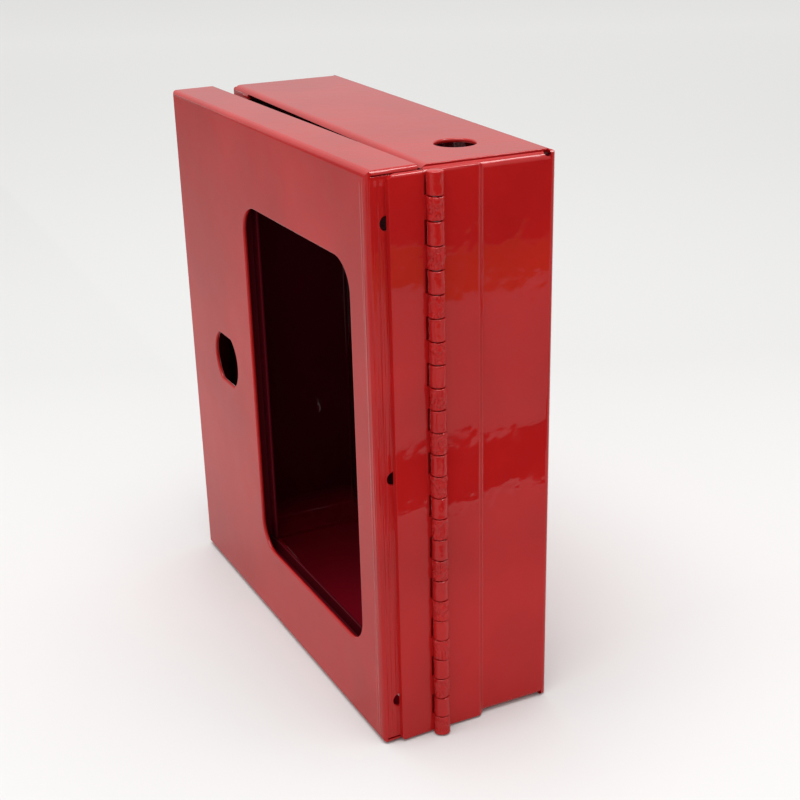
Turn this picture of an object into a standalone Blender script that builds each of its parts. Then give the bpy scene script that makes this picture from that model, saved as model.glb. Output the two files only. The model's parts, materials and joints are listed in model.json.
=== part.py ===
"""Small wall-mounted break-glass key cabinet, folded from sheet steel.

The frame's origin is the middle of the back face: +X runs to the hinge side, +Y into the wall, +Z up.
A folded body, open at the front, carries a tray-shaped door on a continuous hinge down its right side.
The door is drawn closed, about the hinge pin, and its empty then turns it to the ajar rest position.
"""
import math

import bmesh
import bpy
from mathutils import Matrix, Vector

MM = 0.001

# Sheet metal
SHEET = 1.2 * MM
BEND_OUT = 2.0 * MM
BEND_IN = BEND_OUT - SHEET
GAP = 0.3 * MM                      # clearance between neighbouring pieces
OVER = 1.0 * MM                     # how far a cutter runs past the sheet it cuts
BEND_STEPS = 4

# Body
BODY_W = 143.5 * MM
BODY_H = 165.1 * MM
BODY_D = 38.4 * MM
TAB_REACH = 14.0 * MM               # how far a side wall's welded tab runs under the top or bottom
NOSE_R = 2.5 * MM                   # rounding of the front edge of the top and bottom
STRIKE_WIDTH = 15.0 * MM            # return flange that the lock's cam catches
SLIT = 0.6 * MM                     # how far a seam runs in under the top or bottom sheet's edge
RELIEF_R = 1.5 * MM                 # bend relief at the rear corners
CABLE_HOLE_R = 5.75 * MM
CABLE_HOLE_FROM_SIDE = 20.6 * MM
CABLE_HOLE_FROM_FRONT = 19.5 * MM
WALL_HOLE_R = 2.5 * MM
WALL_HOLE_X = 38.0 * MM
WALL_HOLE_Z = 52.0 * MM

# Door, a tray as wide as the body, drawn closed
DOOR_W = 141.6 * MM
DOOR_H = 165.4 * MM
DOOR_D = 14.2 * MM
DOOR_LIFT = 0.3 * MM                # the door's lower edge clears what the body stands on
DOOR_GAP = 1.45 * MM                # between the closed door and the body's front edge
RETURN_LIP = 6.0 * MM               # turned in along the rear of the lock-side flange
AJAR = math.radians(2.4)
WINDOW_W = 72.8 * MM
WINDOW_H = 114.0 * MM
WINDOW_FROM_HINGE = 12.0 * MM
WINDOW_CORNER_R = 8.75 * MM
LOCK_R = 9.6 * MM                   # double-D hole of a cam lock
LOCK_FLATS = 16.3 * MM
LOCK_FROM_HINGE = 108.0 * MM
FLANGE_HOLE_R = 1.95 * MM
FLANGE_HOLE_FROM_REAR = 8.9 * MM
FLANGE_HOLE_PITCH = 69.2 * MM

# Continuous hinge
LEAF_T = 1.0 * MM
LEAF_OFF = 0.4 * MM                 # between the body's side and the back of a closed leaf
BODY_LEAF_REACH = 13.4 * MM         # from the pin's axis to a leaf's edge
DOOR_LEAF_REACH = 12.3 * MM
LEAF_CORNER_R = 1.0 * MM
BARREL_R = 2.2 * MM
BORE_R = 1.4 * MM
PIN_R = 1.15 * MM
KNUCKLES = 26
KNUCKLE_PITCH = 6.32 * MM
BARREL_SIDES = 16
PIN_BEHIND_FRONT = 1.9 * MM         # pin's axis, behind the body's front edge
HINGE_LIFT = 0.2 * MM               # hinge's lower end above the body's

# Glass retainers on the door's back
POCKET = 3.4 * MM                   # room for the glass behind the door sheet
RAIL_T = 0.8 * MM
RAIL_FROM_WINDOW = 0.4 * MM
RAIL_LIP = 4.0 * MM
RAIL_FOOT = 6.0 * MM
RAIL_PAST_STOP = 9.0 * MM           # how far the rails run past the window on the stop's side
STOP_FOOT = 3.4 * MM

# Key hook
HOOK_W = 10.0 * MM
HOOK_T = 1.2 * MM
HOOK_Z = 32.0 * MM                  # middle of its base plate
HOOK_BASE_H = 24.0 * MM
HOOK_REACH = 14.0 * MM
HOOK_TIP = 7.0 * MM
RIVET_R = 1.6 * MM
RIVET_HEAD_R = 3.0 * MM
RIVET_HEAD_H = 1.3 * MM
RIVET_PITCH = 14.0 * MM

# Derived places
SIDE_X = BODY_W / 2
TOP_Z = BODY_H / 2
FRONT_Y = -BODY_D
LEAF_X = SIDE_X + LEAF_OFF          # back faces of both closed leaves
PIN_X = LEAF_X + BARREL_R
PIN_Y = FRONT_Y + PIN_BEHIND_FRONT
HINGE_LOW = -TOP_Z + HINGE_LIFT
HINGE_HIGH = HINGE_LOW + KNUCKLES * KNUCKLE_PITCH

# The same, for the closed door, measured from the pin's axis
DOOR_SIDE_X = LEAF_X - GAP - PIN_X
DOOR_REAR_Y = FRONT_Y - DOOR_GAP - PIN_Y
DOOR_FRONT_Y = DOOR_REAR_Y - DOOR_D
DOOR_INNER_Y = DOOR_FRONT_Y + SHEET
DOOR_LOW = -TOP_Z + DOOR_LIFT
DOOR_MID = DOOR_LOW + DOOR_H / 2
WINDOW_RIGHT = DOOR_SIDE_X - WINDOW_FROM_HINGE
WINDOW_LEFT = WINDOW_RIGHT - WINDOW_W


def clear_scene():
    for obj in list(bpy.data.objects):
        bpy.data.objects.remove(obj, do_unlink=True)


def make_material(name, colour, roughness, metallic):
    material = bpy.data.materials.new(name)
    material.use_nodes = True
    shader = material.node_tree.nodes["Principled BSDF"]
    shader.inputs["Base Color"].default_value = (*colour, 1.0)
    shader.inputs["Roughness"].default_value = roughness
    shader.inputs["Metallic"].default_value = metallic
    return material


# ---------------------------------------------------------------- shapes

def block(low, high):
    """A box between two corners."""
    bm = bmesh.new()
    middle = (Vector(low) + Vector(high)) / 2
    size = Vector(high) - Vector(low)
    place = Matrix.Translation(middle) @ Matrix.Diagonal((*size, 1.0))
    bmesh.ops.create_cube(bm, size=1.0, matrix=place)
    return bm


def prism(outline, axis, low, high):
    """An outline in the two other axes, in X, Y, Z order, extruded along the named axis."""
    bm = bmesh.new()
    index = "xyz".index(axis)

    def place(point, along):
        values = list(point)
        values.insert(index, along)
        return Vector(values)

    face = bm.faces.new([bm.verts.new(place(point, low)) for point in outline])
    grown = bmesh.ops.extrude_face_region(bm, geom=[face])
    moved = [item for item in grown["geom"] if isinstance(item, bmesh.types.BMVert)]
    step = Vector((0, 0, 0))
    step[index] = high - low
    bmesh.ops.translate(bm, verts=moved, vec=step)
    bmesh.ops.recalc_face_normals(bm, faces=bm.faces)
    return bm


def arc(centre, radius, start, end, steps):
    """Points on an arc, angles in degrees, both ends included."""
    points = []
    for step in range(steps + 1):
        angle = math.radians(start + (end - start) * step / steps)
        points.append((centre[0] + radius * math.cos(angle), centre[1] + radius * math.sin(angle)))
    return points


def round_rectangle(low, high, radius, steps=6):
    """A rectangle with four round corners, as an outline."""
    points = []
    corners = ((high[0], high[1], 0), (low[0], high[1], 90), (low[0], low[1], 180), (high[0], low[1], 270))
    for x, y, start in corners:
        centre = (x + (radius if x == low[0] else -radius), y + (radius if y == low[1] else -radius))
        points += arc(centre, radius, start, start + 90, steps)
    return points


def disc(centre, radius, sides):
    return arc(centre, radius, 0, 360 - 360 / sides, sides - 1)


def bevel_edges(bm, choose, width, steps=BEND_STEPS):
    """Round the edges whose two ends both satisfy the test."""
    edges = [edge for edge in bm.edges if all(choose(vert.co) for vert in edge.verts)]
    bmesh.ops.bevel(bm, geom=edges, offset=width, segments=steps, profile=0.5, affect="EDGES",
                    clamp_overlap=True)


def near(value, target):
    return abs(value - target) < 0.01 * MM


# ---------------------------------------------------------------- objects

def add_object(name, bm, material=None, parent=None):
    mesh = bpy.data.meshes.new(name)
    bm.to_mesh(mesh)
    bm.free()
    obj = bpy.data.objects.new(name, mesh)
    bpy.context.scene.collection.objects.link(obj)
    obj.parent = parent
    if material:
        mesh.materials.append(material)
    return obj


def boolean(target, bm, name, operation="DIFFERENCE"):
    """Cut or join one more shape, kept as a hidden guide object."""
    guide = add_object(f"{target.name}_{name}_guide", bm, parent=target.parent)
    guide.hide_render = True
    guide.display_type = "WIRE"
    modifier = target.modifiers.new(name, "BOOLEAN")
    modifier.operation = operation
    modifier.solver = "EXACT"
    modifier.object = guide


def shade_round(obj, limit=30):
    obj.data.shade_smooth()
    obj.data.set_sharp_from_angle(angle=math.radians(limit))


# ---------------------------------------------------------------- body

def body_hollow():
    """The space inside the body, narrowed under the top and over the bottom by the side walls' tabs."""
    wall = SIDE_X - SHEET
    tab_end = wall - TAB_REACH
    ceiling = TOP_Z - SHEET
    tab_z = ceiling - GAP - SHEET
    quarter = arc((wall - BEND_IN, tab_z - BEND_IN), BEND_IN, 0, 90, 3)
    quarter += [(tab_end, tab_z), (tab_end, ceiling)]
    half = quarter + [(-x, z) for x, z in reversed(quarter)]
    outline = half + [(-x, -z) for x, z in half]
    bm = prism(outline, "y", FRONT_Y + SHEET, -SHEET)
    bevel_edges(bm, lambda co: near(co.y, -SHEET), BEND_IN, 2)
    return bm


def seam(side, end):
    """The step and slit where a side wall's rounded tab goes in under the top or bottom sheet."""
    under = TOP_Z - SHEET
    centre = (SIDE_X - BEND_OUT, under - GAP - BEND_OUT)
    outside = SIDE_X + OVER
    inside = centre[0] - SLIT
    outline = [(outside, centre[1]), (outside, TOP_Z + OVER), (centre[0], TOP_Z + OVER)]
    outline += [(centre[0], under), (inside, under), (inside, under - GAP)]
    outline += arc(centre, BEND_OUT, 90, 0, BEND_STEPS)
    outline = [(side * x, end * z) for x, z in outline]
    return prism(outline, "y", FRONT_Y - OVER, -BEND_OUT)


def rear_corner(side, end):
    """What is cut away outside a rear corner's rounding, between the bends of the side and the top or bottom."""
    centre = (SIDE_X - BEND_OUT, TOP_Z - BEND_OUT)
    outline = [(SIDE_X + OVER, centre[1]), (SIDE_X + OVER, TOP_Z + OVER), (centre[0], TOP_Z + OVER)]
    outline += arc(centre, BEND_OUT, 90, 0, BEND_STEPS)
    outline = [(side * x, end * z) for x, z in outline]
    return prism(outline, "y", -BEND_OUT - OVER, OVER)


def make_body(material):
    shell_bm = block((-SIDE_X, FRONT_Y, -TOP_Z), (SIDE_X, 0, TOP_Z))
    bevel_edges(shell_bm, lambda co: near(co.y, 0), BEND_OUT)
    for level in (TOP_Z, -TOP_Z):
        bevel_edges(shell_bm, lambda co: near(co.y, FRONT_Y) and near(co.z, level), NOSE_R)
    shell = add_object("body_shell", shell_bm, material)
    boolean(shell, body_hollow(), "hollow")
    mouth = block((-SIDE_X + STRIKE_WIDTH, FRONT_Y - OVER, -TOP_Z + SHEET),
                  (SIDE_X - SHEET, FRONT_Y + NOSE_R, TOP_Z - SHEET))
    boolean(shell, mouth, "mouth")
    for end, end_name in ((1, "top"), (-1, "bottom")):
        for side, side_name in ((1, "right"), (-1, "left")):
            boolean(shell, seam(side, end), f"{end_name}_{side_name}_seam")
            boolean(shell, rear_corner(side, end), f"{end_name}_{side_name}_corner")
            relief = bmesh.new()
            spot = Vector((side * (SIDE_X - SHEET), -SHEET, end * (TOP_Z - SHEET)))
            bmesh.ops.create_uvsphere(relief, u_segments=12, v_segments=8, radius=RELIEF_R,
                                      matrix=Matrix.Translation(spot))
            boolean(shell, relief, f"{end_name}_{side_name}_relief")
    cable_spot = (SIDE_X - CABLE_HOLE_FROM_SIDE, FRONT_Y + CABLE_HOLE_FROM_FRONT)
    cable_hole = prism(disc(cable_spot, CABLE_HOLE_R, 28), "z", TOP_Z - SHEET - OVER, TOP_Z + OVER)
    boolean(shell, cable_hole, "cable_hole")
    for x in (-WALL_HOLE_X, WALL_HOLE_X):
        for z in (-WALL_HOLE_Z, WALL_HOLE_Z):
            hole = prism(disc((x, z), WALL_HOLE_R, 16), "y", -SHEET - OVER, OVER)
            boolean(shell, hole, f"wall_hole_{x > 0:d}{z > 0:d}")
    for z in rivet_heights():
        hole = prism(disc((0, z), RIVET_R + GAP, 16), "y", -SHEET - OVER, OVER)
        boolean(shell, hole, f"rivet_hole_{z > HOOK_Z:d}")
    shade_round(shell)


# ---------------------------------------------------------------- hinge

def leaf_outline(towards, reach):
    """A leaf and its full knuckle ring, about the pin. Towards is +1 for the body's leaf, -1 for the door's."""
    face = -BARREL_R
    meets = math.degrees(math.acos((face + LEAF_T) / BARREL_R))
    outline = [(face, reach), (face + LEAF_T, reach)]
    outline += arc((0, 0), BARREL_R, meets, -180, BARREL_SIDES - 2)
    return [(x, towards * y) for x, y in outline]


def make_leaf(name, towards, reach, first, material, parent=None, centre=(0, 0)):
    """One hinge leaf. Its knuckles are every second one, counted from the bottom, beginning at first."""
    outline = [(centre[0] + x, centre[1] + y) for x, y in leaf_outline(towards, reach)]
    bm = prism(outline, "z", HINGE_LOW + GAP / 2, HINGE_HIGH - GAP / 2)
    edge_y = centre[1] + towards * reach
    tips = [edge for edge in bm.edges if all(near(vert.co.y, edge_y) for vert in edge.verts)]
    corners = [edge for edge in tips if near(edge.verts[0].co.z, edge.verts[1].co.z)]
    bmesh.ops.bevel(bm, geom=corners, offset=LEAF_CORNER_R, segments=1, affect="EDGES")
    leaf = add_object(name, bm, material, parent)
    bore = prism(disc(centre, BORE_R, BARREL_SIDES), "z", HINGE_LOW - OVER, HINGE_HIGH + OVER)
    boolean(leaf, bore, "bore")
    gaps = bmesh.new()
    spare = [n for n in range(KNUCKLES) if n % 2 != first % 2]
    for n in spare:
        low = HINGE_LOW + n * KNUCKLE_PITCH - GAP / 2
        high = low + KNUCKLE_PITCH + GAP
        low -= OVER if n == 0 else 0
        high += OVER if n == KNUCKLES - 1 else 0
        room = BARREL_R + GAP
        clear = block((-room - OVER, -room, low), (room + OVER, room, high))
        bmesh.ops.translate(clear, verts=clear.verts, vec=(*centre, 0))
        mesh = bpy.data.meshes.new("gap")
        clear.to_mesh(mesh)
        clear.free()
        gaps.from_mesh(mesh)
        bpy.data.meshes.remove(mesh)
    boolean(leaf, gaps, "gaps")
    shade_round(leaf)


def make_pin(material):
    bm = prism(disc((PIN_X, PIN_Y), PIN_R, BARREL_SIDES), "z", HINGE_LOW + GAP, HINGE_HIGH - GAP)
    shade_round(add_object("hinge_pin", bm, material))


# ---------------------------------------------------------------- door

def make_door(material, parent):
    left = DOOR_SIDE_X - DOOR_W
    high = DOOR_LOW + DOOR_H
    shell_bm = block((left, DOOR_FRONT_Y, DOOR_LOW), (DOOR_SIDE_X, DOOR_REAR_Y, high))
    bevel_edges(shell_bm, lambda co: near(co.y, DOOR_FRONT_Y), BEND_OUT)
    shell = add_object("door_shell", shell_bm, material, parent)
    lip_y = DOOR_REAR_Y - SHEET
    hollow = block((left + SHEET, DOOR_INNER_Y, DOOR_LOW + SHEET), (DOOR_SIDE_X - SHEET, lip_y, high - SHEET))
    bevel_edges(hollow, lambda co: near(co.y, DOOR_INNER_Y), BEND_IN, 2)
    boolean(shell, hollow, "hollow")
    mouth = block((left + RETURN_LIP, lip_y - OVER, DOOR_LOW + SHEET),
                  (DOOR_SIDE_X - SHEET, DOOR_REAR_Y + OVER, high - SHEET))
    boolean(shell, mouth, "mouth")
    front = (DOOR_FRONT_Y - OVER, DOOR_INNER_Y + OVER)
    window_low = (WINDOW_LEFT, DOOR_MID - WINDOW_H / 2)
    window_high = (WINDOW_RIGHT, DOOR_MID + WINDOW_H / 2)
    window = round_rectangle(window_low, window_high, WINDOW_CORNER_R)
    boolean(shell, prism(window, "y", *front), "window")
    flat = math.degrees(math.asin(LOCK_FLATS / 2 / LOCK_R))
    lock_spot = (DOOR_SIDE_X - LOCK_FROM_HINGE, DOOR_MID)
    double_d = arc(lock_spot, LOCK_R, -flat, flat, 8)
    double_d += arc(lock_spot, LOCK_R, 180 - flat, 180 + flat, 8)
    boolean(shell, prism(double_d, "y", *front), "lock_hole")
    for row in (-1, 0, 1):
        spot = (DOOR_REAR_Y - FLANGE_HOLE_FROM_REAR, DOOR_MID + row * FLANGE_HOLE_PITCH)
        hole = prism(disc(spot, FLANGE_HOLE_R, 16), "x", DOOR_SIDE_X - SHEET - OVER, DOOR_SIDE_X + OVER)
        boolean(shell, hole, f"flange_hole_{row + 2}")
    shade_round(shell)


def rail_section(foot):
    """A folded Z: a lip over the glass, a wall, and a foot on the door. The lip's edge is at zero."""
    face = DOOR_INNER_Y + GAP
    lip_y = DOOR_INNER_Y + POCKET
    wall = RAIL_LIP + RAIL_T
    return [(0, lip_y), (0, lip_y + RAIL_T), (wall, lip_y + RAIL_T), (wall, face + RAIL_T),
            (RAIL_LIP + foot, face + RAIL_T), (RAIL_LIP + foot, face), (RAIL_LIP, face), (RAIL_LIP, lip_y)]


def make_rail(name, end, material, parent):
    """The rail above (+1) or below (-1) the window."""
    edge = WINDOW_H / 2 + RAIL_FROM_WINDOW
    outline = [(y, DOOR_MID + end * (edge + out)) for out, y in rail_section(RAIL_FOOT)]
    bm = prism(outline, "x", WINDOW_LEFT - RAIL_PAST_STOP, WINDOW_RIGHT + RAIL_LIP)
    add_object(name, bm, material, parent)


def make_glass_stop(material, parent):
    """The shorter rail between them, on the lock's side of the window."""
    edge = WINDOW_LEFT - RAIL_FROM_WINDOW
    half = WINDOW_H / 2 + RAIL_FROM_WINDOW - GAP
    outline = [(edge - out, y) for out, y in rail_section(STOP_FOOT)]
    bm = prism(outline, "z", DOOR_MID - half, DOOR_MID + half)
    add_object("glass_stop", bm, material, parent)


# ---------------------------------------------------------------- key hook

def rivet_heights():
    return (HOOK_Z - RIVET_PITCH / 2, HOOK_Z + RIVET_PITCH / 2)


def make_key_hook(material):
    """A folded strip: a base plate on the back wall, an arm forward from its foot, and a turned-up tip."""
    base = -SHEET - GAP
    low = HOOK_Z - HOOK_BASE_H / 2
    tip = base - HOOK_REACH
    bend = BEND_OUT
    inner = bend - HOOK_T
    outline = [(base, HOOK_Z + HOOK_BASE_H / 2)]
    outline += arc((base - bend, low + bend), bend, 0, -90, 3)
    outline += arc((tip + bend, low + bend), bend, -90, -180, 3)
    outline += [(tip, low + HOOK_TIP), (tip + HOOK_T, low + HOOK_TIP)]
    outline += arc((tip + bend, low + bend), inner, -180, -90, 3)
    outline += arc((base - bend, low + bend), inner, -90, 0, 3)
    outline += [(base - HOOK_T, HOOK_Z + HOOK_BASE_H / 2)]
    hook = add_object("key_hook", prism(outline, "x", -HOOK_W / 2, HOOK_W / 2), material)
    for number, z in enumerate(rivet_heights()):
        hole = prism(disc((0, z), RIVET_R + GAP, 16), "y", base - HOOK_T - OVER, base + OVER)
        boolean(hook, hole, f"hole_{number}")
    shade_round(hook)


def make_rivet(name, z, material):
    """A domed blind rivet, turned about its own axis, head towards the inside."""
    seat = SHEET + GAP + HOOK_T + GAP
    profile = [(0, 0), (RIVET_R, 0), (RIVET_R, seat), (RIVET_HEAD_R, seat)]
    for angle in (0.35, 0.75, 1.15):
        profile.append((RIVET_HEAD_R * math.cos(angle), seat + RIVET_HEAD_H * math.sin(angle)))
    profile += [(0, seat + RIVET_HEAD_H)]
    bm = bmesh.new()
    verts = [bm.verts.new((radius, -depth, z)) for radius, depth in profile]
    edges = [bm.edges.new(pair) for pair in zip(verts, verts[1:])]
    bmesh.ops.spin(bm, geom=verts + edges, cent=(0, 0, z), axis=(0, 1, 0), angle=2 * math.pi, steps=16)
    bmesh.ops.remove_doubles(bm, verts=bm.verts, dist=0.001 * MM)
    bmesh.ops.recalc_face_normals(bm, faces=bm.faces)
    shade_round(add_object(name, bm, material))


def main():
    clear_scene()
    enamel = make_material("red_enamel", (0.45, 0.012, 0.016), 0.22, 0.0)
    steel = make_material("bright_steel", (0.62, 0.62, 0.60), 0.35, 1.0)
    rivet_metal = make_material("rivet_aluminium", (0.78, 0.78, 0.80), 0.4, 1.0)

    make_body(enamel)
    make_leaf("hinge_leaf_body", 1, BODY_LEAF_REACH, 1, enamel, centre=(PIN_X, PIN_Y))
    make_pin(steel)
    make_key_hook(steel)
    for name, z in zip(("hook_rivet_lower", "hook_rivet_upper"), rivet_heights()):
        make_rivet(name, z, rivet_metal)

    door_axis = bpy.data.objects.new("door_axis", None)
    bpy.context.scene.collection.objects.link(door_axis)
    door_axis.location = (PIN_X, PIN_Y, 0)
    door_axis.rotation_euler = (0, 0, AJAR)
    make_door(enamel, door_axis)
    make_leaf("hinge_leaf_door", -1, DOOR_LEAF_REACH, 0, enamel, door_axis)
    make_rail("glass_rail_top", 1, enamel, door_axis)
    make_rail("glass_rail_bottom", -1, enamel, door_axis)
    make_glass_stop(enamel, door_axis)


main()
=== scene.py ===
"""Looks of the emergency key cabinet: glossy red enamel on folded sheet steel, in a soft white light tent.

All lengths are in metres, in the CAD frame: +X to the hinge side, -Y out of the door, +Z up.
"""
import json
import math

import bmesh
import bpy
from mathutils import Matrix, Vector, noise


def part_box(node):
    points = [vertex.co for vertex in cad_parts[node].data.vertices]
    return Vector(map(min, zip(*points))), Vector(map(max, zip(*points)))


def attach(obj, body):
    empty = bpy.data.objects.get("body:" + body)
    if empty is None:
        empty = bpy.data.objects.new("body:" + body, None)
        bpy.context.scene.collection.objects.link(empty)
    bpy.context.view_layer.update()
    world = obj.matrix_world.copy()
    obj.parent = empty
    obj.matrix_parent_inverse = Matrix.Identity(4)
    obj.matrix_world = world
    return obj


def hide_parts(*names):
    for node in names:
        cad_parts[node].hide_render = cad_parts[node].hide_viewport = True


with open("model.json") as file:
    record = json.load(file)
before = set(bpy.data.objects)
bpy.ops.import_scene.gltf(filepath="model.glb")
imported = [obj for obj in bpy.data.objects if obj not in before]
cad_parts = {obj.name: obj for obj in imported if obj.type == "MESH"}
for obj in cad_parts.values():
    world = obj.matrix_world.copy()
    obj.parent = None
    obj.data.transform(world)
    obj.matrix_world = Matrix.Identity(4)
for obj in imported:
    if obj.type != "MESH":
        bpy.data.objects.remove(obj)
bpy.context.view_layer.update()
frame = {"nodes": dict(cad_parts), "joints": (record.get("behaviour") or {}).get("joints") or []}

MM = 0.001

# ---------------------------------------------------------------- dimensions

# Read from the frame
BODY_LOW, BODY_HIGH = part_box("body_shell")
DOOR_LOW, DOOR_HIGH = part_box("door_shell")
LEAF_LOW, LEAF_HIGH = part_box("hinge_leaf_body")
HINGE = frame["joints"][0]
PIN = Vector(HINGE["pos_m"])
AJAR = -math.radians(HINGE["range_deg"][0])
SIDE_X = BODY_HIGH.x
TOP_Z = BODY_HIGH.z
FRONT_Y = BODY_LOW.y
FLOOR_Z = BODY_LOW.z

# The same as the CAD model's own
SHEET = 1.2 * MM
BEND_OUT = 2.0 * MM
BEND_IN = BEND_OUT - SHEET
SEAM = 0.3 * MM
TAB_REACH = 14.0 * MM
NOSE_R = 2.5 * MM
STRIKE_WIDTH = 15.0 * MM
RELIEF_R = 1.5 * MM
CABLE_HOLE = (SIDE_X - 20.6 * MM, FRONT_Y + 19.5 * MM)
CABLE_HOLE_R = 5.75 * MM
WALL_HOLE_R = 2.5 * MM
WALL_HOLES = [(x * MM, z * MM) for x in (-38, 38) for z in (-52, 52)]
RIVET_HOLE_R = 1.9 * MM
RIVETS = [(0, (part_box(node)[0].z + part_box(node)[1].z) / 2)
          for node in ("hook_rivet_lower", "hook_rivet_upper")]

# The closed door, measured from the pin's axis
DOOR_W = 141.6 * MM
DOOR_D = 14.2 * MM
DOOR_SIDE = -2.5 * MM
DOOR_REAR = FRONT_Y - 1.45 * MM - PIN.y
DOOR_FACE = DOOR_REAR - DOOR_D
DOOR_INNER = DOOR_FACE + SHEET
RETURN_LIP = 6.0 * MM
DOOR_MID = (DOOR_LOW.z + DOOR_HIGH.z) / 2
WINDOW_W = 72.8 * MM
WINDOW_H = 114.0 * MM
WINDOW_RIGHT = DOOR_SIDE - 12.0 * MM
WINDOW_LEFT = WINDOW_RIGHT - WINDOW_W
WINDOW_CORNER_R = 8.75 * MM
LOCK_X = DOOR_SIDE - 108.0 * MM
LOCK_R = 9.6 * MM
LOCK_FLATS = 16.3 * MM
FLANGE_HOLE_R = 1.95 * MM
FLANGE_HOLE_Y = DOOR_REAR - 8.9 * MM
FLANGE_HOLE_PITCH = 69.2 * MM

# Hinge
LEAF_T = 1.0 * MM
BODY_LEAF_REACH = 13.4 * MM
DOOR_LEAF_REACH = 12.3 * MM
BARREL_R = 2.2 * MM
BORE_R = 1.4 * MM
KNUCKLES = 26
KNUCKLE_GAP = 0.3 * MM
CAP_T = 0.12 * MM                   # enamel over a closed end, which leaves room for the pin's end
HINGE_LOW = LEAF_LOW.z - KNUCKLE_GAP / 2
HINGE_HIGH = LEAF_HIGH.z + KNUCKLE_GAP / 2
KNUCKLE_PITCH = (HINGE_HIGH - HINGE_LOW) / KNUCKLES

# Enamel builds up on every edge and rounds it, and partly fills the open joints
EDGE_R = 0.32 * MM
RIM_R = 0.5 * MM
REAR_CORNER_R = 1.6 * MM
TAB_STEP = 0.6 * MM                 # from the top sheet down to the crest of a side wall's bend
TAB_GROOVE = 0.25 * MM              # between the sheet's edge and that bend
CABLE_HOLE_BUILD_UP = 0.15 * MM
FILLET_SKIRT = 1.5 * MM             # how far the body leaf's fillet runs out over the side
FILLET_SHOULDER = 0.8 * MM          # and how far it begins in from the leaf's edge
THIN_FILLET = 0.15 * MM             # both, on the door's leaf
RUN_PAST_LEAF = 0.9 * MM            # run of enamel beside the body's leaf, and its two ends
RUN_HIGH = 58 * MM
RUN_LOW = 38 * MM
SMOOTH_KNUCKLES = 0.12
ROUGH_KNUCKLES = 1.0
ROUND_STEPS = 8


# ---------------------------------------------------------------- mesh helpers

def arc(centre, radius, start, end, steps):
    """Points on an arc, angles in degrees, both ends included."""
    points = []
    for step in range(steps + 1):
        angle = math.radians(start + (end - start) * step / steps)
        points.append((centre[0] + radius * math.cos(angle), centre[1] + radius * math.sin(angle)))
    return points


def rounded_box(low, high, radii, steps=ROUND_STEPS):
    """A rectangle's outline; radii are for the corners high-high, low-high, low-low and high-low."""
    points = []
    corners = ((high[0], high[1], 0), (low[0], high[1], 90), (low[0], low[1], 180), (high[0], low[1], 270))
    for (x, y, start), radius in zip(corners, radii):
        centre = (x + (radius if x == low[0] else -radius), y + (radius if y == low[1] else -radius))
        points += arc(centre, radius, start, start + 90, steps) if radius else [(x, y)]
    return points


def circle(centre, radius, sides):
    return arc(centre, radius, 0, 360 - 360 / sides, sides - 1)


def round_hole(centre, radius, sides):
    """A round outline for rim_cutter."""
    return lambda growth: circle(centre, radius + growth, sides)


def place(point, axis, along):
    values = list(point)
    values.insert("xyz".index(axis), along)
    return Vector(values)


def loft(rings, axis, levels):
    """A closed solid through outlines of equal length, one for each level along the axis."""
    bm = bmesh.new()
    rows = [[bm.verts.new(place(point, axis, level)) for point in ring] for ring, level in zip(rings, levels)]
    count = len(rows[0])
    for lower, upper in zip(rows, rows[1:]):
        for i in range(count):
            j = (i + 1) % count
            bm.faces.new((lower[i], lower[j], upper[j], upper[i]))
    bm.faces.new(rows[0])
    bm.faces.new(rows[-1])
    bmesh.ops.recalc_face_normals(bm, faces=bm.faces)
    return bm


def prism(outline, axis, low, high):
    return loft([outline, outline], axis, [low, high])


def block(low, high):
    bm = bmesh.new()
    low, high = Vector(low), Vector(high)
    matrix = Matrix.Translation((low + high) / 2) @ Matrix.Diagonal((*(high - low), 1.0))
    bmesh.ops.create_cube(bm, size=1.0, matrix=matrix)
    return bm


def rim_cutter(outline, axis, low, high, radius=RIM_R, low_rim=True, high_rim=True):
    """A cutter through a sheet from low to high that leaves its rims rounded.

    outline(growth) is the hole's outline, grown by that much.
    """
    steps = 4
    over = 1.0 * MM
    quarter = [(radius * (1 - math.cos(a)), radius * (1 - math.sin(a)))
               for a in (math.pi / 2 * step / steps for step in range(steps + 1))]
    levels, rings = [], []
    if low_rim:
        levels += [low - over] + [low + depth for depth, growth in quarter]
        rings += [outline(radius)] + [outline(growth) for depth, growth in quarter]
    else:
        levels.append(low - over)
        rings.append(outline(0))
    if high_rim:
        levels += [high - depth for depth, growth in reversed(quarter)] + [high + over]
        rings += [outline(growth) for depth, growth in reversed(quarter)] + [outline(radius)]
    else:
        levels.append(high + over)
        rings.append(outline(0))
    return loft(rings, axis, levels)


def merged(meshes):
    """Several closed shapes in one mesh."""
    joined = bmesh.new()
    for bm in meshes:
        mesh = bpy.data.meshes.new("part")
        bm.to_mesh(mesh)
        bm.free()
        joined.from_mesh(mesh)
        bpy.data.meshes.remove(mesh)
    return joined


def raw_object(name, bm):
    mesh = bpy.data.meshes.new(name)
    bm.to_mesh(mesh)
    bm.free()
    obj = bpy.data.objects.new(name, mesh)
    bpy.context.scene.collection.objects.link(obj)
    return obj


def carve(name, base, steps):
    """The base shape after a list of (operation, shape) Booleans, as one new mesh."""
    obj = raw_object(name, base)
    guides = []
    for operation, shape in steps:
        guide = raw_object(name + "_guide", shape)
        guides.append(guide)
        modifier = obj.modifiers.new(operation, "BOOLEAN")
        modifier.operation = operation
        modifier.solver = "EXACT"
        modifier.object = guide
    graph = bpy.context.evaluated_depsgraph_get()
    done = bpy.data.meshes.new_from_object(obj.evaluated_get(graph))
    for used in [obj, *guides]:
        mesh = used.data
        bpy.data.objects.remove(used)
        bpy.data.meshes.remove(mesh)
    bm = bmesh.new()
    bm.from_mesh(done)
    bpy.data.meshes.remove(done)
    return bm


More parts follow.
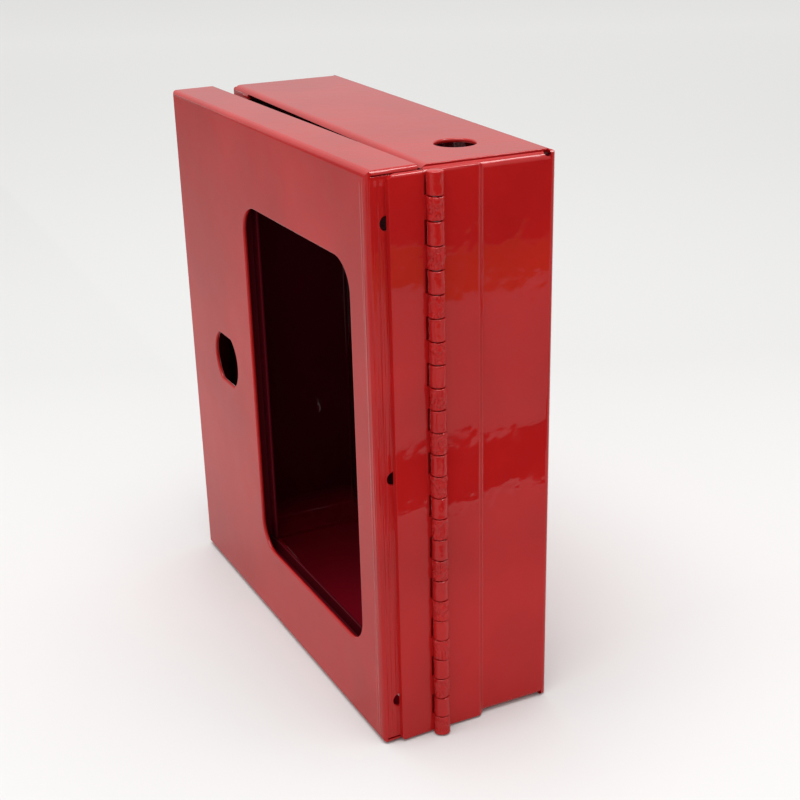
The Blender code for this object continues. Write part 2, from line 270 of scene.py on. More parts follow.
def finish_piece(name, bm, body, materials, nodes, sharp=35, matrix=None, second=None):
    """Shades a finished shape and hangs it on its body, in place of its CAD nodes.

    The faces whose middle passes the test called second take the second material.
    """
    if second:
        for face in bm.faces:
            face.material_index = int(second(face.calc_center_bounds()))
    if matrix:
        bmesh.ops.transform(bm, matrix=matrix, verts=bm.verts)
    obj = raw_object(name, bm)
    obj.data.shade_smooth()
    obj.data.set_sharp_from_angle(angle=math.radians(sharp))
    weighted = obj.modifiers.new("weighted", "WEIGHTED_NORMAL")
    weighted.keep_sharp = True
    for material in materials:
        obj.data.materials.append(material)
    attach(obj, body)
    if nodes:
        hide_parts(*nodes)
    return obj


DOOR_PLACE = Matrix.Translation((PIN.x, PIN.y, 0)) @ Matrix.Rotation(AJAR, 4, "Z")
PIN_PLACE = Matrix.Translation((PIN.x, PIN.y, 0))


# ---------------------------------------------------------------- materials

class Nodes:
    """Short names for building a node tree."""

    def __init__(self, tree):
        self.tree = tree

    def add(self, kind, **settings):
        node = self.tree.nodes.new(kind)
        for name, value in settings.items():
            setattr(node, name, value)
        return node

    def link(self, output, socket):
        self.tree.links.new(output, socket)

    def noise(self, vector, scale, detail=2.0, roughness=0.5):
        node = self.add("ShaderNodeTexNoise")
        node.inputs["Scale"].default_value = scale
        node.inputs["Detail"].default_value = detail
        node.inputs["Roughness"].default_value = roughness
        self.link(vector, node.inputs["Vector"])
        return node.outputs["Fac"]

    def stretched(self, vector, scale):
        node = self.add("ShaderNodeMapping")
        node.inputs["Scale"].default_value = scale
        self.link(vector, node.inputs["Vector"])
        return node.outputs["Vector"]

    def ramp(self, value, low, high, out_low=0.0, out_high=1.0):
        node = self.add("ShaderNodeMapRange")
        limits = {"From Min": low, "From Max": high, "To Min": out_low, "To Max": out_high}
        for socket, number in limits.items():
            node.inputs[socket].default_value = number
        self.link(value, node.inputs["Value"])
        return node.outputs["Result"]

    def product(self, first, second):
        node = self.add("ShaderNodeMath", operation="MULTIPLY")
        self.link(first, node.inputs[0])
        self.link(second, node.inputs[1])
        return node.outputs["Value"]

    def mix(self, factor, first, second):
        node = self.add("ShaderNodeMix", data_type="RGBA")
        for socket, value in ((node.inputs["A"], first), (node.inputs["B"], second)):
            if isinstance(value, tuple):
                socket.default_value = (*value, 1.0)
            else:
                self.link(value, socket)
        self.link(factor, node.inputs["Factor"])
        return node.outputs["Result"]

    def bump(self, height, distance, below=None):
        node = self.add("ShaderNodeBump")
        node.inputs["Distance"].default_value = distance
        self.link(height, node.inputs["Height"])
        if below:
            self.link(below, node.inputs["Normal"])
        return node.outputs["Normal"]


def new_material(name):
    material = bpy.data.materials.new(name)
    material.use_nodes = True
    tree = material.node_tree
    nodes = Nodes(tree)
    shader = tree.nodes["Principled BSDF"]
    coords = nodes.add("ShaderNodeTexCoord").outputs["Object"]
    return material, nodes, shader, coords


ENAMEL = (0.47, 0.0105, 0.0105)
ENAMEL_DEEP = (0.40, 0.0088, 0.0092)
# Painted shade: the inside's near-black colour stands in for the shade within the cabinet, and its floor's
# redder colour is painted light from the window
INSIDE_PAINTED_SHADE = (0.085, 0.0035, 0.008)
INSIDE_FLOOR_PAINTED_LIGHT = (0.25, 0.004, 0.014)


def enamel(name, streaks=0.0, lumps=0.0, inner=False, specular=0.5):
    """Glossy sprayed enamel, with fine orange peel and long shallow waves.

    Streaks are drawn down the hinge side and lumps are a coarse crust. With inner, the colour is painted
    shade: near-black inside, turning redder near the bottom as painted light on the inside's floor.
    """
    material, nodes, shader, coords = new_material(name)
    # Painted shade on the inside's faces, blending into painted light on its floor near the bottom
    if inner:
        height = nodes.add("ShaderNodeSeparateXYZ")
        nodes.link(coords, height.inputs["Vector"])
        low = nodes.ramp(height.outputs["Z"], -72 * MM, FLOOR_Z + 3 * MM)
        colour = nodes.mix(low, INSIDE_PAINTED_SHADE, INSIDE_FLOOR_PAINTED_LIGHT)
    else:
        patch = nodes.ramp(nodes.noise(coords, 28, 3), 0.35, 0.65)
        colour = nodes.mix(patch, ENAMEL, ENAMEL_DEEP)
    nodes.link(colour, shader.inputs["Base Color"])
    shader.inputs["IOR"].default_value = 1.45
    shader.inputs["Specular IOR Level"].default_value = specular
    gloss = nodes.ramp(nodes.noise(coords, 160, 3), 0.3, 0.7, 0.03, 0.07)
    nodes.link(gloss, shader.inputs["Roughness"])
    normal = nodes.bump(nodes.noise(coords, 24, 1), 0.30 * MM)
    normal = nodes.bump(nodes.noise(coords, 110, 2), 0.13 * MM, normal)
    normal = nodes.bump(nodes.noise(coords, 300, 2), 0.016 * MM, normal)
    normal = nodes.bump(nodes.noise(coords, 1100, 1), 0.0022 * MM, normal)
    if streaks:
        across = nodes.add("ShaderNodeSeparateXYZ")
        nodes.link(coords, across.inputs["Vector"])
        near_bend = nodes.ramp(across.outputs["X"], SIDE_X - 4 * MM, SIDE_X - MM)
        drawn = nodes.ramp(nodes.noise(nodes.stretched(coords, (1100, 1100, 11)), 1.0, 2), 0.42, 0.6)
        below_top = nodes.ramp(across.outputs["Z"], DOOR_HIGH.z - 2.5 * MM, DOOR_HIGH.z - 4 * MM)
        height = nodes.product(nodes.product(near_bend, below_top), drawn)
        normal = nodes.bump(height, 0.16 * MM * streaks, normal)
    if lumps:
        normal = nodes.bump(nodes.noise(coords, 700, 3), 0.12 * MM * lumps, normal)
    nodes.link(normal, shader.inputs["Normal"])
    return material


def bright_metal(name, colour, roughness):
    """Plated or bare metal with fine rolling marks."""
    material, nodes, shader, coords = new_material(name)
    marks = nodes.noise(nodes.stretched(coords, (300, 300, 2500)), 1.0, 3)
    shade = tuple(0.8 * value for value in colour)
    nodes.link(nodes.mix(nodes.ramp(marks, 0.3, 0.7), colour, shade), shader.inputs["Base Color"])
    shader.inputs["Metallic"].default_value = 1.0
    nodes.link(nodes.ramp(marks, 0.3, 0.7, roughness, roughness + 0.15), shader.inputs["Roughness"])
    nodes.link(nodes.bump(marks, 0.004 * MM), shader.inputs["Normal"])
    return material


# ---------------------------------------------------------------- body

def body_outer():
    low, high = (-SIDE_X, -TOP_Z), (SIDE_X, TOP_Z)
    shape = prism(rounded_box(low, high, [EDGE_R] * 4, 3), "y", FRONT_Y - MM, -BEND_OUT)
    rear = prism(rounded_box(low, high, [REAR_CORNER_R] * 4), "y", -BEND_OUT - 0.01 * MM, MM)
    profile = rounded_box((FRONT_Y, -TOP_Z), (0, TOP_Z), (BEND_OUT, NOSE_R, NOSE_R, BEND_OUT))
    plan = rounded_box((-SIDE_X, FRONT_Y), (SIDE_X, 0), (BEND_OUT, BEND_OUT, BEND_OUT, EDGE_R))
    return shape, [("UNION", rear),
                   ("INTERSECT", prism(profile, "x", -SIDE_X - MM, SIDE_X + MM)),
                   ("INTERSECT", prism(plan, "z", -TOP_Z - MM, TOP_Z + MM))]


def body_hollow():
    """The inside, narrowed at the top and bottom by the side walls' tabs."""
    wall = SIDE_X - SHEET
    ceiling = TOP_Z - SHEET
    tab_end = wall - TAB_REACH
    tab_z = ceiling - SEAM - SHEET
    quarter = arc((wall - BEND_IN, tab_z - BEND_IN), BEND_IN, 0, 90, 4)
    quarter += [(tab_end, tab_z), (tab_end, ceiling)]
    half = quarter + [(-x, z) for x, z in reversed(quarter)]
    outline = half + [(-x, -z) for x, z in half]
    profile = rounded_box((FRONT_Y + SHEET, -ceiling), (-SHEET, ceiling), (BEND_IN, 0, 0, BEND_IN), 4)
    plan = rounded_box((-wall, FRONT_Y + SHEET), (wall, -SHEET), (BEND_IN, BEND_IN, BEND_IN, 0), 4)
    return carve("hollow", prism(outline, "y", FRONT_Y - MM, MM),
                 [("INTERSECT", prism(profile, "x", -SIDE_X, SIDE_X)),
                  ("INTERSECT", prism(plan, "z", -TOP_Z, TOP_Z))])


def body_mouth(growth):
    """The front opening between the lips, the strike flange and the hinge-side wall."""
    corner = 0.4 * MM + growth
    return rounded_box((-SIDE_X + STRIKE_WIDTH - growth, -TOP_Z + SHEET - growth),
                       (SIDE_X - SHEET + growth, TOP_Z - SHEET + growth), [corner] * 4, 4)


def body_seam(side, end):
    """The open joint beside the top or bottom sheet, and what is cut off outside the side wall's bend."""
    edge = SIDE_X - BEND_OUT
    drop = TOP_Z - TAB_STEP - BEND_OUT
    outline = [(SIDE_X + MM, drop), (SIDE_X + MM, TOP_Z + MM), (edge - EDGE_R, TOP_Z + MM)]
    outline += arc((edge - EDGE_R, TOP_Z - EDGE_R), EDGE_R, 90, 0, 3)
    outline += [(edge, TOP_Z - SHEET - SEAM), (edge + TAB_GROOVE, TOP_Z - SHEET - SEAM)]
    start = math.degrees(math.acos(TAB_GROOVE / BEND_OUT))
    outline += arc((edge, drop), BEND_OUT, start, 0, ROUND_STEPS)
    return prism([(side * x, end * z) for x, z in outline], "y", FRONT_Y - MM, -BEND_OUT)


def relief_cutter(side, end):
    """The bend relief, a small oval hole at the rear end of the open joint."""
    bm = bmesh.new()
    spot = Vector((side * (SIDE_X - 1.25 * MM), -2.5 * MM, end * (TOP_Z - 1.15 * MM)))
    size = Matrix.Diagonal((RELIEF_R, 0.75 * RELIEF_R, 0.55 * RELIEF_R, 1))
    bmesh.ops.create_uvsphere(bm, u_segments=28, v_segments=18, radius=1.0,
                              matrix=Matrix.Translation(spot) @ size)
    return bm


def make_body(materials):
    shape, steps = body_outer()
    steps.append(("DIFFERENCE", body_hollow()))
    steps.append(("DIFFERENCE", rim_cutter(body_mouth, "y", FRONT_Y, FRONT_Y + SHEET, EDGE_R)))
    for end in (1, -1):
        for side in (1, -1):
            steps.append(("DIFFERENCE", body_seam(side, end)))
            steps.append(("DIFFERENCE", relief_cutter(side, end)))
    cable_hole = round_hole(CABLE_HOLE, CABLE_HOLE_R - CABLE_HOLE_BUILD_UP, 56)
    steps.append(("DIFFERENCE", rim_cutter(cable_hole, "z", TOP_Z - SHEET, TOP_Z)))
    holes = [(spot, WALL_HOLE_R) for spot in WALL_HOLES] + [(spot, RIVET_HOLE_R) for spot in RIVETS]
    for spot, radius in holes:
        steps.append(("DIFFERENCE", rim_cutter(round_hole(spot, radius, 28), "y", -SHEET, 0, EDGE_R)))
    high = Vector((SIDE_X - SHEET, 0, TOP_Z - SHEET)) + Vector((1, 0, 1)) * 0.01 * MM
    inner_y = (FRONT_Y + SHEET - 0.01 * MM, -SHEET + 0.01 * MM)

    def inside(co):
        return abs(co.x) < high.x and abs(co.z) < high.z and inner_y[0] < co.y < inner_y[1]

    # The inside faces take the second material, whose colour is painted shade
    finish_piece("cabinet_body", carve("body", shape, steps), "cabinet", materials,
                 ["body_shell"], second=inside)


# ---------------------------------------------------------------- door

def door_outline(growth, corner):
    low = (DOOR_SIDE - DOOR_W - growth, DOOR_LOW.z - growth)
    high = (DOOR_SIDE + growth, DOOR_HIGH.z + growth)
    return rounded_box(low, high, [corner] * 4, 4)


def door_mouth(growth):
    """The tray's open back, beside the lip turned in along the lock-side flange."""
    low = (DOOR_SIDE - DOOR_W + RETURN_LIP - growth, DOOR_LOW.z + SHEET - growth)
    high = (DOOR_SIDE - SHEET + growth, DOOR_HIGH.z - SHEET + growth)
    return rounded_box(low, high, [0.5 * MM + growth] * 4, 4)


def window_outline(growth):
    low = (WINDOW_LEFT - growth, DOOR_MID - WINDOW_H / 2 - growth)
    high = (WINDOW_RIGHT + growth, DOOR_MID + WINDOW_H / 2 + growth)
    return rounded_box(low, high, [WINDOW_CORNER_R + growth] * 4, 12)


def lock_outline(growth):
    radius = LOCK_R + growth
    flat = math.degrees(math.asin((LOCK_FLATS / 2 + growth) / radius))
    centre = (LOCK_X, DOOR_MID)
    return arc(centre, radius, -flat, flat, 14) + arc(centre, radius, 180 - flat, 180 + flat, 14)


def door_seam(end):
    """The open joint where the top or bottom flange lies over the end of the hinge-side flange."""
    level = DOOR_MID + end * ((DOOR_HIGH.z - DOOR_LOW.z) / 2 - SHEET)
    deep = DOOR_SIDE - 0.9 * SHEET
    outline = [(DOOR_SIDE + MM, level - end * SEAM * 3)]
    outline += [(DOOR_SIDE + MM, level), (deep, level), (deep, level - end * SEAM)]
    for a in (math.pi / 2 * k / 5 for k in range(6)):
        fall = SEAM + RIM_R * (1 - math.cos(a))
        outline.append((DOOR_SIDE - RIM_R + RIM_R * math.sin(a), level - end * fall))
    return prism(outline, "y", DOOR_FACE + 1.2 * MM, DOOR_REAR + MM)


def make_door(materials):
    left = DOOR_SIDE - DOOR_W
    shape = prism(door_outline(0, 1.1 * MM), "y", DOOR_FACE - MM, DOOR_REAR + MM)
    bend = (EDGE_R, BEND_OUT, BEND_OUT, EDGE_R)
    profile = rounded_box((DOOR_FACE, DOOR_LOW.z), (DOOR_REAR, DOOR_HIGH.z), bend)
    plan = rounded_box((left, DOOR_FACE), (DOOR_SIDE, DOOR_REAR), (EDGE_R, EDGE_R, BEND_OUT, BEND_OUT))
    steps = [("INTERSECT", prism(profile, "x", left - MM, DOOR_SIDE + MM)),
             ("INTERSECT", prism(plan, "z", DOOR_LOW.z - MM, DOOR_HIGH.z + MM))]
    inner = prism(door_outline(-SHEET, 0.5 * MM), "y", DOOR_FACE, DOOR_REAR - SHEET)
    bend = (0, BEND_IN, BEND_IN, 0)
    profile = rounded_box((DOOR_INNER, DOOR_LOW.z + SHEET), (DOOR_REAR + 2 * MM, DOOR_HIGH.z - SHEET),
                          bend, 4)
    bend = (0, 0, BEND_IN, BEND_IN)
    plan = rounded_box((left + SHEET, DOOR_INNER), (DOOR_SIDE - SHEET, DOOR_REAR + 2 * MM), bend, 4)
    hollow = carve("tray", inner, [("INTERSECT", prism(profile, "x", left, DOOR_SIDE)),
                                   ("INTERSECT", prism(plan, "z", DOOR_LOW.z, DOOR_HIGH.z))])
    steps.append(("DIFFERENCE", hollow))
    mouth = rim_cutter(door_mouth, "y", DOOR_REAR - 2 * MM, DOOR_REAR, EDGE_R, low_rim=False)
    steps.append(("DIFFERENCE", mouth))
    for end in (1, -1):
        steps.append(("DIFFERENCE", door_seam(end)))
    steps.append(("DIFFERENCE", rim_cutter(window_outline, "y", DOOR_FACE, DOOR_INNER)))
    steps.append(("DIFFERENCE", rim_cutter(lock_outline, "y", DOOR_FACE, DOOR_INNER)))
    for row in (-1, 0, 1):
        spot = (FLANGE_HOLE_Y, DOOR_MID + row * FLANGE_HOLE_PITCH)
        hole = rim_cutter(round_hole(spot, FLANGE_HOLE_R, 32), "x", DOOR_SIDE - SHEET, DOOR_SIDE, EDGE_R)
        steps.append(("DIFFERENCE", hole))
    slack = 0.01 * MM
    low = Vector((left + SHEET - slack, DOOR_INNER - slack, DOOR_LOW.z + SHEET - slack))
    high = Vector((DOOR_SIDE - SHEET + slack, DOOR_REAR - slack, DOOR_HIGH.z - SHEET + slack))
    # The tray's inside faces take the second material, whose colour is painted shade
    finish_piece("cabinet_door", carve("door", shape, steps), "door", materials, ["door_shell"],
                 matrix=DOOR_PLACE, second=lambda co: all(low[i] < co[i] < high[i] for i in range(3)))


# ---------------------------------------------------------------- hinge

def knuckle(low, high, rough, cap_low=False, cap_high=False, seed=0):
    """A painted knuckle round the pin: a tube with rounded ends, or a lumpy end where the paint caps it."""
    around = 88
    round_r = 0.3 * MM
    quarter = [(round_r * (1 - math.cos(a)), round_r * (1 - math.sin(a)))
               for a in (math.pi / 2 * k / 4 for k in range(5))]
    middle = 30
    rows = [(low + depth, BARREL_R - drop) for depth, drop in quarter]
    rows += [(low + round_r + (high - low - 2 * round_r) * k / middle, BARREL_R) for k in range(1, middle)]
    rows += [(high - depth, BARREL_R - drop) for depth, drop in reversed(quarter)]
    bm = bmesh.new()

    def ring(z, radius, amount):
        verts = []
        for k in range(around):
            angle = 2 * math.pi * k / around
            direction = Vector((math.cos(angle), math.sin(angle), 0))
            point = direction * radius + Vector((0, 0, z))
            shifted = point + Vector((0, 0, seed * 7.3 * MM))
            soft = noise.noise(shifted * 420)
            fine = noise.noise(shifted * 1500)
            crack = 1 - min(1.0, abs(noise.noise(Vector((shifted.x, shifted.y, shifted.z * 0.5)) * 950)) * 6)
            relief = 0.24 * MM * (soft + 0.2) + 0.10 * MM * fine - 0.22 * MM * crack
            point += direction * amount * (0.08 * MM * soft + rough * relief)
            wave = 0.03 * MM + rough * 0.13 * MM
            point.z += amount * wave * noise.noise(shifted * 700 + Vector((3, 5, 7)))
            verts.append(bm.verts.new(point))
        return verts

    outer = [ring(z, radius, 1.0) for z, radius in rows]
    loops = list(outer)
    if cap_low:
        low_rows = [(BARREL_R * 0.72, 0.05), (BARREL_R * 0.4, 0.1), (BARREL_R * 0.12, 0.12)]
        loops = [ring(low - drop * MM, radius, 1.2) for radius, drop in reversed(low_rows)] + loops
        inner_low = low + CAP_T
    else:
        inner_low = rows[0][0]
    if cap_high:
        high_rows = [(BARREL_R * 0.72, 0.12), (BARREL_R * 0.4, 0.2), (BARREL_R * 0.12, 0.22)]
        loops = loops + [ring(high + rise * MM, radius, 2.2) for radius, rise in high_rows]
        inner_high = high - CAP_T
    else:
        inner_high = rows[-1][0]
    bore = []
    for z in (inner_low, inner_high):
        turns = [2 * math.pi * k / around for k in range(around)]
        bore.append([bm.verts.new((BORE_R * math.cos(turn), BORE_R * math.sin(turn), z)) for turn in turns])

    def skin(first, second):
        for k in range(around):
            j = (k + 1) % around
            bm.faces.new((first[k], first[j], second[j], second[k]))

    for first, second in zip(loops, loops[1:]):
        skin(first, second)
    skin(*bore)
    for capped, loop, hole in ((cap_low, loops[0], bore[0]), (cap_high, loops[-1], bore[1])):
        if capped:
            bm.faces.new(loop)
            bm.faces.new(hole)
        else:
            skin(loop, hole)
    bmesh.ops.recalc_face_normals(bm, faces=bm.faces)
    return bm


def leaf_plate(towards, reach, foot, skirt, shoulder):
    """The flat of a leaf, about the pin, with the enamel's fillet where its free edge lies on the sheet."""
    back = -BARREL_R
    face = back + LEAF_T
    start = 0.8 * MM
    end = reach
    outline = [(back, start), (back, end - MM), (foot - 0.02 * MM, end - MM), (foot - 0.02 * MM, end + skirt)]
    steps = 9
    for k in range(1, steps + 1):
        t = k / steps
        outline.append((foot + (face - foot) * t * t * (3 - 2 * t), end + skirt - t * (skirt + shoulder)))
    outline.append((face, start))
    return [(x, towards * y) for x, y in outline]


def drip(y, high, low):
    """A run of enamel down the body's side, from the edge of the leaf, with a heavier end."""
    lobes = ((0.0, 0.30, 0.55), (0.25, 0.40, 0.75), (0.55, 0.30, 0.5), (0.8, 0.42, 0.62), (0.97, 0.5, 0.7))
    beads = []
    for along, thick, wide in lobes:
        bead = bmesh.new()
        reach = (high - low) * 0.22
        centre = Vector((SIDE_X - PIN.x, y, high + (low - high) * along * 0.8))
        size = Matrix.Diagonal((thick * MM, wide * MM, reach, 1))
        bmesh.ops.create_uvsphere(bead, u_segments=20, v_segments=24, radius=1.0,
                                  matrix=Matrix.Translation(centre) @ size)
        beads.append(bead)
    return beads


def make_leaf(name, towards, reach, first, foot, skirt, shoulder, body, node, materials, matrix, rough,
              extra=()):
    """One hinge leaf with every second knuckle, counted from the bottom, beginning at first."""
    low_z, high_z = HINGE_LOW + 0.1 * MM, HINGE_HIGH - 0.1 * MM
    face = -BARREL_R + LEAF_T
    plate = prism(leaf_plate(towards, reach, foot, skirt, shoulder), "z", low_z, high_z)
    near, far = sorted((towards * 0.5 * MM, towards * (reach + skirt)))
    corner = [2.2 * MM if (towards > 0) == high_side else 0 for high_side in (True, False, False, True)]
    trim = prism(rounded_box((near, low_z), (far, high_z), corner, 6), "x", -5 * MM, 5 * MM)
    end_r = 0.95 * LEAF_T
    profile = rounded_box((-5 * MM, low_z), (face, high_z), (end_r, 0, 0, end_r), 6)
    ends = prism(profile, "y", -30 * MM, 30 * MM)
    clear = BARREL_R + 0.35 * MM
    gaps = []
    for n in range(KNUCKLES):
        if n % 2 != first % 2:
            low = HINGE_LOW + n * KNUCKLE_PITCH - 0.12 * MM - (MM if n == 0 else 0)
            high = HINGE_LOW + (n + 1) * KNUCKLE_PITCH + 0.12 * MM + (MM if n == KNUCKLES - 1 else 0)
            gaps.append(block((-clear - MM, -clear, low), (clear + MM, clear, high)))
    plate = carve("plate", plate, [("INTERSECT", trim), ("INTERSECT", ends), ("DIFFERENCE", merged(gaps))])
    rings = []
    for n in range(KNUCKLES):
        if n % 2 == first % 2:
            low = HINGE_LOW + n * KNUCKLE_PITCH + 0.14 * MM
            high = HINGE_LOW + (n + 1) * KNUCKLE_PITCH - 0.14 * MM
            rings.append(knuckle(low, high, rough, n == 0, n == KNUCKLES - 1, seed=n))
    steps = [("UNION", merged(rings))] + [("UNION", shape) for shape in extra]
    finish_piece(name, carve("leaf", plate, steps), body, materials, [node], sharp=45,
                 matrix=matrix, second=lambda co: math.hypot(co.x, co.y) < BARREL_R + 0.3 * MM)


# ---------------------------------------------------------------- small parts, with their edges eased

def ease(name, bm, body, material, width):
    """One folded or turned part with every edge eased, in place of the CAD node of the same name."""
    obj = finish_piece(name + "_eased", bm, body, [material], [name])
    bevel = obj.modifiers.new("edges", "BEVEL")
    bevel.width = width
    bevel.segments = 2
    bevel.limit_method = "ANGLE"
    bevel.angle_limit = math.radians(40)
    obj.modifiers.move(len(obj.modifiers) - 1, 0)


def node_shape(name):
    """The CAD node's own shape as it stands, in the scene's frame."""
    node = frame["nodes"][name]
    bm = bmesh.new()
    bm.from_mesh(node.data)
    bmesh.ops.transform(bm, matrix=node.matrix_world, verts=bm.verts)
    bmesh.ops.remove_doubles(bm, verts=bm.verts, dist=0.001 * MM)
    bmesh.ops.dissolve_limit(bm, angle_limit=math.radians(1), verts=bm.verts, edges=bm.edges)
    return bm


# ---------------------------------------------------------------- light, floor and camera

CAMERA_AZIMUTH = 65.07
CAMERA_ELEVATION = 22.23
CAMERA_ROLL = -1.41
CAMERA_DISTANCE = 374.9 * MM
CAMERA_TARGET = Vector((54.9, -38.4, 14.6)) * MM
CAMERA_LENS = 61.62


def make_camera():
    azimuth, elevation = math.radians(CAMERA_AZIMUTH), math.radians(CAMERA_ELEVATION)
    back = Vector((math.sin(azimuth) * math.cos(elevation), -math.cos(azimuth) * math.cos(elevation),
                   math.sin(elevation)))
    data = bpy.data.cameras.new("camera")
    data.lens = CAMERA_LENS
    data.clip_start = 0.01
    camera = bpy.data.objects.new("camera", data)
    bpy.context.scene.collection.objects.link(camera)
    camera.location = CAMERA_TARGET + back * CAMERA_DISTANCE
    turn = (-back).to_track_quat("-Z", "Y").to_matrix() @ Matrix.Rotation(math.radians(CAMERA_ROLL), 3, "Z")
    camera.rotation_euler = turn.to_euler()
    bpy.context.scene.camera = camera


def area_light(name, location, target, size, power):
    data = bpy.data.lights.new(name, "AREA")
    data.shape = "RECTANGLE"
    data.size, data.size_y = size
    data.energy = power
    light = bpy.data.objects.new(name, data)
    bpy.context.scene.collection.objects.link(light)
    light.location = location
    light.rotation_euler = (Vector(target) - Vector(location)).to_track_quat("-Z", "Y").to_euler()
    return light


def make_world():
    world = bpy.data.worlds.new("tent")
    bpy.context.scene.world = world
    world.use_nodes = True
    nodes = Nodes(world.node_tree)
    background = world.node_tree.nodes["Background"]
    direction = nodes.add("ShaderNodeTexCoord").outputs["Generated"]
    split = nodes.add("ShaderNodeSeparateXYZ")
    nodes.link(direction, split.inputs["Vector"])
    height = nodes.ramp(split.outputs["Z"], 0.05, 0.45)
    nodes.link(nodes.mix(height, (0.62, 0.615, 0.61), (1.15, 1.145, 1.13)), background.inputs["Color"])
    background.inputs["Strength"].default_value = 0.76


# The floor's colour is graded slowly with distance along FLOOR_AWAY, from the near end to the far end:
# painted light and shade, darker at mid distance and lighter far off
FLOOR_AWAY = (-0.906, 0.423, 0)
FLOOR_PAINTED_LIGHT_TONES = ((0.12, 0.725), (0.22, 0.675), (0.50, 0.73))
FLOOR_PAINTED_LIGHT_END_TONES = (0.74, 0.86)


def make_floor():
    bm = bmesh.new()
    bmesh.ops.create_circle(bm, cap_ends=True, segments=96, radius=6.0,
                            matrix=Matrix.Translation((0, 0, FLOOR_Z)))
    floor = raw_object("floor", bm)
    material, nodes, shader, coords = new_material("tent_floor")
    away = nodes.add("ShaderNodeVectorMath", operation="DOT_PRODUCT")
    away.inputs[1].default_value = FLOOR_AWAY
    nodes.link(coords, away.inputs[0])
    drift = nodes.noise(coords, 3, 2)
    along = nodes.add("ShaderNodeMath", operation="MULTIPLY_ADD")
    nodes.link(drift, along.inputs[0])
    along.inputs[1].default_value = 0.04
    nodes.link(nodes.ramp(away.outputs["Value"], -0.1, 1.5), along.inputs[2])
    # Painted light and shade: the floor's tone follows distance along FLOOR_AWAY
    tones = nodes.add("ShaderNodeValToRGB")
    nodes.link(along.outputs["Value"], tones.inputs["Fac"])
    for spot, tone in FLOOR_PAINTED_LIGHT_TONES:
        tones.color_ramp.elements.new(spot).color = (tone, tone, tone, 1)
    for stop, tone in zip((tones.color_ramp.elements[0], tones.color_ramp.elements[-1]), FLOOR_PAINTED_LIGHT_END_TONES):
        stop.color = (tone, tone, tone, 1)
    nodes.link(tones.outputs["Color"], shader.inputs["Base Color"])
    shader.inputs["Roughness"].default_value = 0.75
    shader.inputs["Specular IOR Level"].default_value = 0.2
    floor.data.materials.append(material)


def make_flag(name, outline, colour, far_colour=None, reach=None):
    """A sheet on the floor that shows only in the cabinet's gloss, as the things around a light tent do."""
    flag = raw_object(name, prism(outline, "z", FLOOR_Z + 0.05 * MM, FLOOR_Z + 0.2 * MM))
    material, nodes, shader, coords = new_material(name + "_cloth")
    if far_colour:
        distance = nodes.add("ShaderNodeVectorMath", operation="LENGTH")
        nodes.link(coords, distance.inputs[0])
        tone = nodes.mix(nodes.ramp(distance.outputs["Value"], *reach), colour, far_colour)
    else:
        shade = tuple(0.8 * value for value in colour)
        tone = nodes.mix(nodes.noise(coords, 20, 2), colour, shade)
    nodes.link(tone, shader.inputs["Base Color"])
    shader.inputs["Roughness"].default_value = 0.9
    shader.inputs["Specular IOR Level"].default_value = 0.1
    flag.data.materials.append(material)
    flag.visible_camera = False
    flag.visible_diffuse = False
    flag.visible_shadow = False
    flag.visible_transmission = False


def strip(near_x, far_x, wander, seed):
    """A strip along Y whose two long edges wander."""
    start, length, steps = -0.8, 1.8, 40
    ys = [start + length * k / steps for k in range(steps + 1)]
    near = [(near_x + wander * noise.noise(Vector((y * 9, seed, 0))), y) for y in ys]
    far = [(far_x + wander * noise.noise(Vector((y * 9, seed, 4))), y) for y in ys]
    return near + far[::-1]


def rectangle(low, high):
    return [low, (high[0], low[1]), high, (low[0], high[1])]


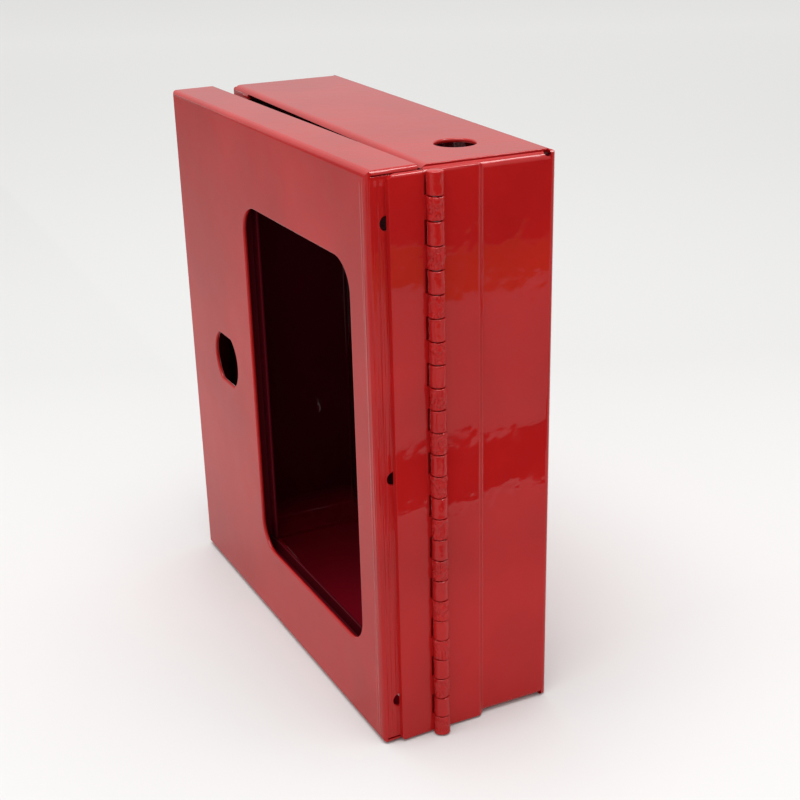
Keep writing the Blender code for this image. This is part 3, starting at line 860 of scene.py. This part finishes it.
def make_stage():
    """The tent, with what lies around it: bands to the hinge side, a sheet in front, and two lamps."""
    make_world()
    make_floor()
    make_flag("near_sheet", strip(0.046, 0.195, 0.002, 5), (0.48, 0.48, 0.47))
    make_flag("near_strip", strip(0.197, 0.247, 0.004, 1), (0.004, 0.003, 0.003))
    make_flag("grey_strip", strip(0.249, 0.434, 0.002, 2), (0.54, 0.54, 0.53))
    make_flag("wood_strip", strip(0.437, 0.505, 0.006, 3), (0.36, 0.21, 0.03))
    make_flag("far_strip", rectangle((0.509, -1.5), (3.0, 1.5)), (0.012, 0.009, 0.009))
    make_flag("left_sheet", rectangle((-3.0, -3.0), (0.049, -0.02)), (0.49, 0.485, 0.48),
              (0.28, 0.28, 0.27), (0.25, 1.2))
    area_light("overhead", (0.11, -0.19, 1.08), (0, 0, -0.05), (0.75, 0.75), 8.6)
    glint = area_light("glint", (0.45, 0.47, 1.0), (0, 0, 0.05), (0.5, 0.35), 6.0)
    glint.visible_diffuse = False


# ---------------------------------------------------------------- build

bpy.context.scene.view_settings.view_transform = "Standard"
body_enamel = enamel("body_enamel")
door_enamel = enamel("door_enamel", streaks=1.0)
# The inside's faces, and the glass rails and stop, take painted shade as their colour; the rails also have
# little gloss
painted_shade_enamel = enamel("painted_shade_enamel", inner=True)
rail_painted_shade_enamel = enamel("rail_painted_shade_enamel", inner=True, specular=0.06)
leaf_enamel = enamel("leaf_enamel")
knuckle_enamel = enamel("knuckle_enamel", lumps=0.25)
rough_enamel = enamel("rough_enamel", lumps=1.0)
steel = bright_metal("bright_steel", (0.62, 0.62, 0.60), 0.25)
aluminium = bright_metal("rivet_aluminium", (0.78, 0.78, 0.80), 0.3)

make_body([body_enamel, painted_shade_enamel])
make_door([door_enamel, painted_shade_enamel])
enamel_run = drip(BODY_LEAF_REACH + RUN_PAST_LEAF, RUN_HIGH, RUN_LOW)
make_leaf("hinge_leaf_fixed", 1, BODY_LEAF_REACH, 1, SIDE_X - PIN.x, FILLET_SKIRT, FILLET_SHOULDER,
          "cabinet", "hinge_leaf_body", [leaf_enamel, knuckle_enamel], PIN_PLACE, SMOOTH_KNUCKLES, enamel_run)
make_leaf("hinge_leaf_moving", -1, DOOR_LEAF_REACH, 0, DOOR_SIDE, THIN_FILLET, THIN_FILLET,
          "door", "hinge_leaf_door", [leaf_enamel, rough_enamel], DOOR_PLACE, ROUGH_KNUCKLES)
for name in ("glass_rail_top", "glass_rail_bottom", "glass_stop"):
    ease(name, node_shape(name), "door", rail_painted_shade_enamel, 0.2 * MM)
ease("key_hook", node_shape("key_hook"), "cabinet", steel, 0.2 * MM)
for name in ("hook_rivet_upper", "hook_rivet_lower"):
    ease(name, node_shape(name), "cabinet", aluminium, 0.15 * MM)
ease("hinge_pin", node_shape("hinge_pin"), "cabinet", steel, 0.15 * MM)

make_camera()
make_stage()
